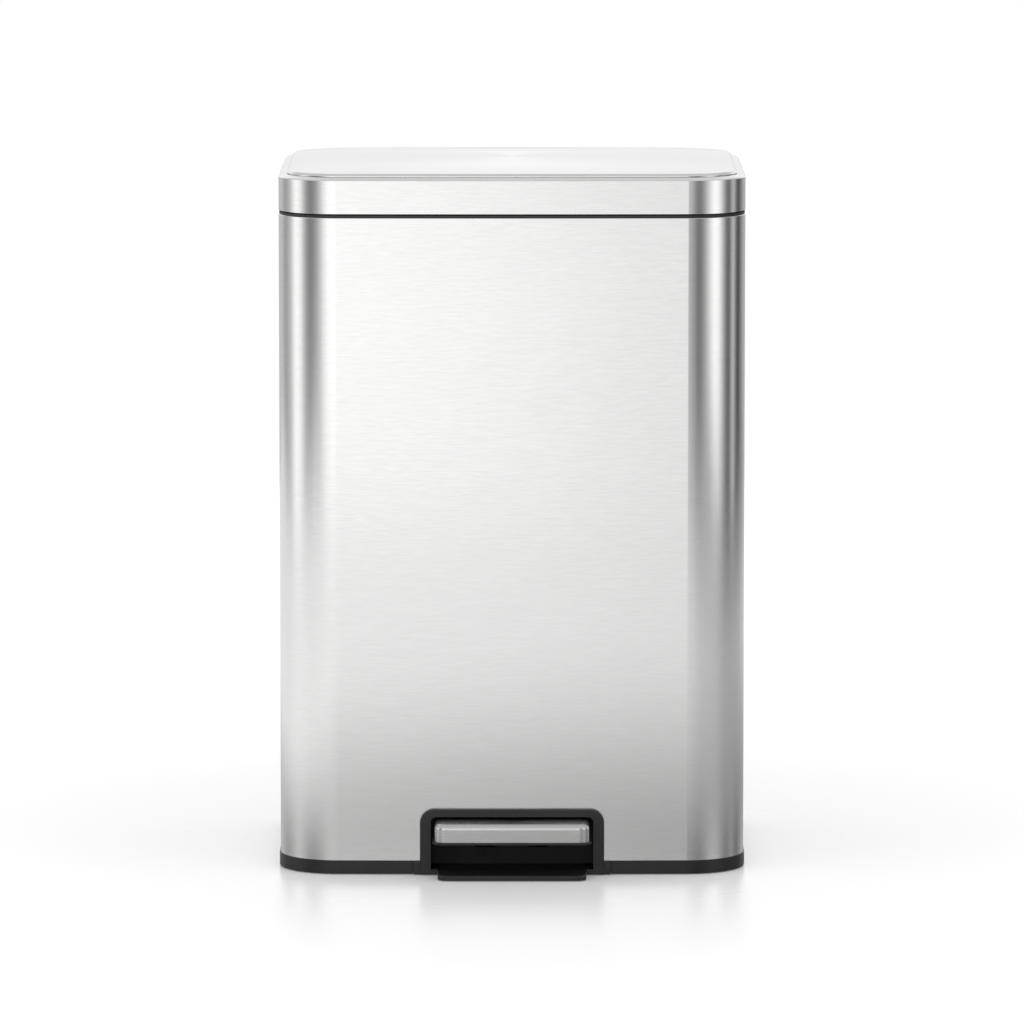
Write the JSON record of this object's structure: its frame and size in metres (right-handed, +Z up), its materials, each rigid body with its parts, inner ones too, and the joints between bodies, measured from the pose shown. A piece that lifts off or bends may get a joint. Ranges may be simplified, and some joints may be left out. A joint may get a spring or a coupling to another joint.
{
  "type": "step trash can",
  "caption": "Rectangular brushed-steel kitchen bin with rounded corners, a foot pedal that lifts the hinged lid through a lever and push rod, and a lift-out inner bucket.",
  "frame": {"origin": "on the floor under the middle of the overall box, pedal and hinge housing included", "axes": "+Z up, -Y towards the user at the pedal, +X to the right of someone who looks along +Y"},
  "size_m": [0.427, 0.381, 0.645],
  "materials": {
    "brushed_steel": "fine horizontal brushed grain",
    "black_plastic": "fine moulded texture",
    "bucket_plastic": "smooth moulded",
    "plated_steel": "bright zinc plating",
    "nylon": "natural nylon",
    "rubber": "matt moulded rubber",
    "damper_grey": "smooth moulded"
  },
  "bodies": {
    "bin_body": {"body_shell": "brushed_steel", "top_collar": "black_plastic", "base_plate": "black_plastic", "plinth": "black_plastic", "rubber_feet": "rubber", "base_screws": "plated_steel", "bucket_deck": "black_plastic", "deck_legs": "black_plastic", "pedal_bezel": "black_plastic", "pedal_well": "black_plastic", "inner_bucket": "bucket_plastic", "rod_channel": "plated_steel", "hinge_housing": "black_plastic", "hinge_pin": "plated_steel", "housing_screws": "plated_steel", "rod_guides": "nylon", "damper_body": "damper_grey", "damper_clamp": "nylon", "pivot_blocks": "nylon", "pivot_pin": "plated_steel", "pivot_washers": "nylon", "lever_buffer": "rubber"},
    "lid": {"lid_skin": "brushed_steel", "lid_panel": "black_plastic", "lid_bumpers": "rubber", "hinge_bracket": "plated_steel", "crank_pin": "plated_steel", "bracket_screws": "plated_steel"},
    "lifter": {"push_rod": "plated_steel", "rod_yoke": "nylon", "rod_foot": "nylon", "damper_rod": "plated_steel", "damper_link": "nylon"},
    "foot_lever": {"pedal_lever": "plated_steel", "pedal_cap": "brushed_steel", "pedal_tread": "black_plastic", "pedal_screws": "plated_steel"}
  },
  "joints": [
    {"name": "lid_hinge", "type": "hinge", "parent": "bin_body", "child": "lid", "pos_m": [0, 0.181, 0.588], "axis": [-1, 0, 0], "range_deg": [0, 80]},
    {"name": "rod_slide", "type": "slide", "parent": "bin_body", "child": "lifter", "axis": [0, 0, 1], "range_m": [0, 0.0387]},
    {"name": "pedal_pivot", "type": "hinge", "parent": "bin_body", "child": "foot_lever", "pos_m": [0, -0.088, 0.0333], "axis": [1, 0, 0], "range_deg": [0, 9]}
  ],
  "couplings": [
    {"joint": "rod_slide", "follows": "lid_hinge", "m_per_rad": 0.027622},
    {"joint": "pedal_pivot", "follows": "lid_hinge", "ratio": 0.1124}
  ]
}
